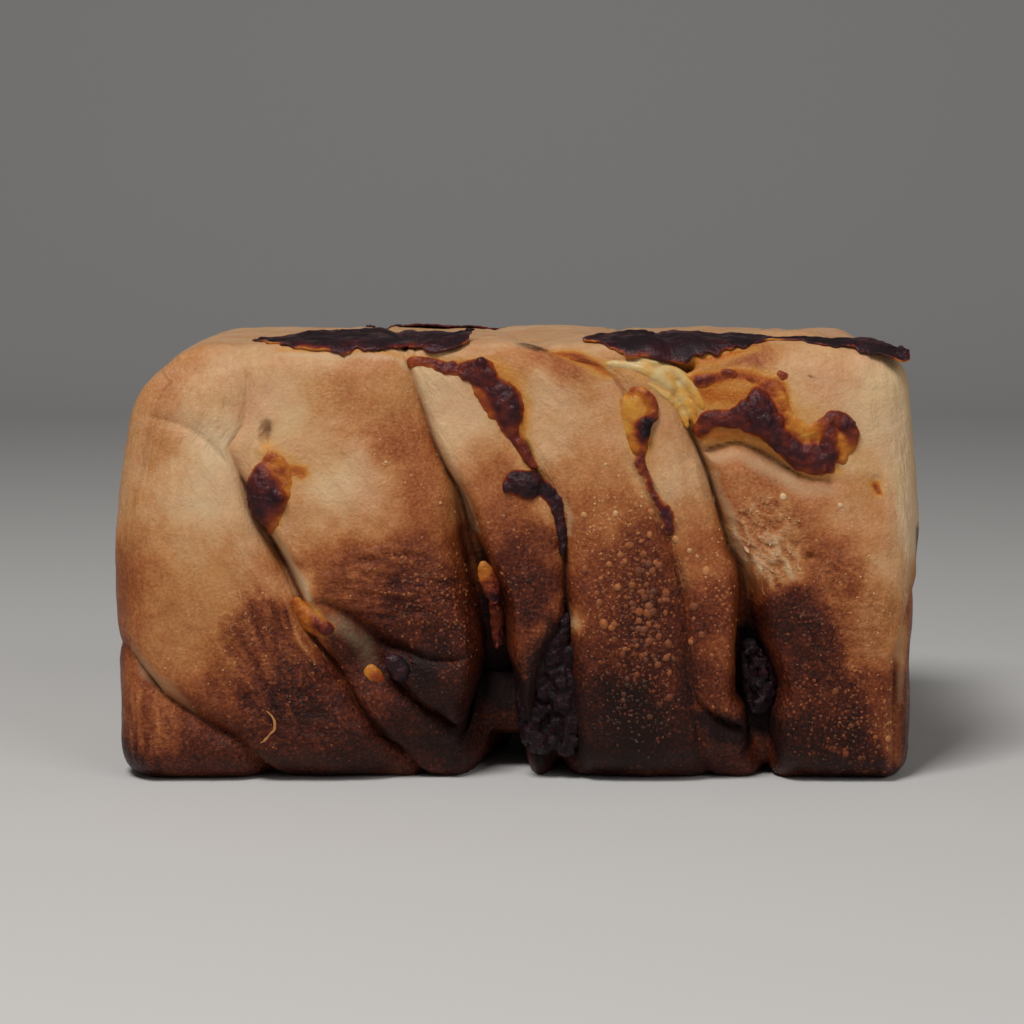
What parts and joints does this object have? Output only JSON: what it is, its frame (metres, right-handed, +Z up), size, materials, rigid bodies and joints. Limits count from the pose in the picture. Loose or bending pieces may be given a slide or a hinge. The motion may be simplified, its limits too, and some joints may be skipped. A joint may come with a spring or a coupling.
{
  "type": "cheese bread",
  "caption": "Twisted loaf of cheese bread turned out of its tin, with browned slanting folds and melted, burnt cheese run out of them.",
  "frame": {"origin": "on the table under the middle of the loaf", "axes": "+X along the loaf to the right of the shown side, +Y away from the shown side, +Z up"},
  "size_m": [0.1994, 0.1091, 0.1115],
  "materials": {
    "crust": "baked bread crust, matt to satin",
    "melted_cheese": "melted cheese, glossy",
    "burnt_cheese": "burnt cheese, glossy dark brown"
  },
  "bodies": {
    "root": {"dough": "crust", "cheese_burst_left": "burnt_cheese", "cheese_drop_left": "melted_cheese", "cheese_bead_under": "melted_cheese", "cheese_knob_under": "burnt_cheese", "cheese_seam_cleft": "melted_cheese", "cheese_bean": "burnt_cheese", "cheese_knob": "burnt_cheese", "cheese_char": "burnt_cheese", "cheese_bulb": "melted_cheese", "cheese_pocket": "burnt_cheese", "cheese_curl": "burnt_cheese", "cheese_melt": "melted_cheese", "crisp_left": "burnt_cheese", "crisp_middle": "burnt_cheese", "crisp_right": "burnt_cheese", "cheese_back_curl": "burnt_cheese", "cheese_back_seam": "burnt_cheese", "cheese_back_pocket": "melted_cheese", "crisp_back": "burnt_cheese"}
  },
  "joints": []
}
